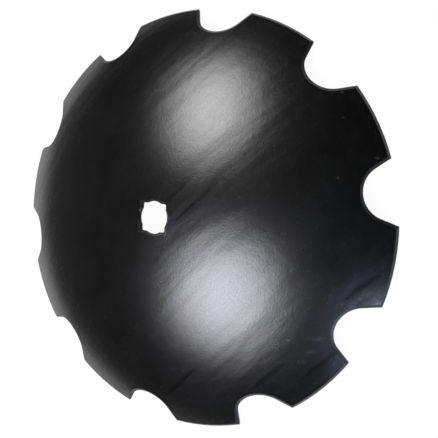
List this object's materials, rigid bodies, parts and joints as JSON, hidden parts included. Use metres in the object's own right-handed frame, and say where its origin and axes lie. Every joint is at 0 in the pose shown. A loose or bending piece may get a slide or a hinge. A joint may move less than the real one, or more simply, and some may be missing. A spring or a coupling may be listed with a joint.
{
  "type": "harrow disc blade",
  "caption": "Dished steel disc blade with a bevelled, scalloped rim and a square-and-round arbor hole, for the gang of a disc harrow.",
  "frame": {"origin": "on the blade's own axis, in the plane that its teeth stand on when it lies dome up", "axes": "+Z along the blade's axis from the hollow side to the crown; +X through the middle of one scallop"},
  "size_m": [0.6038, 0.6098, 0.0974],
  "materials": {
    "painted_steel": "thin black paint on hot-pressed boron steel plate, semi-gloss"
  },
  "bodies": {
    "root": {"disc_blade": "painted_steel"}
  },
  "joints": []
}
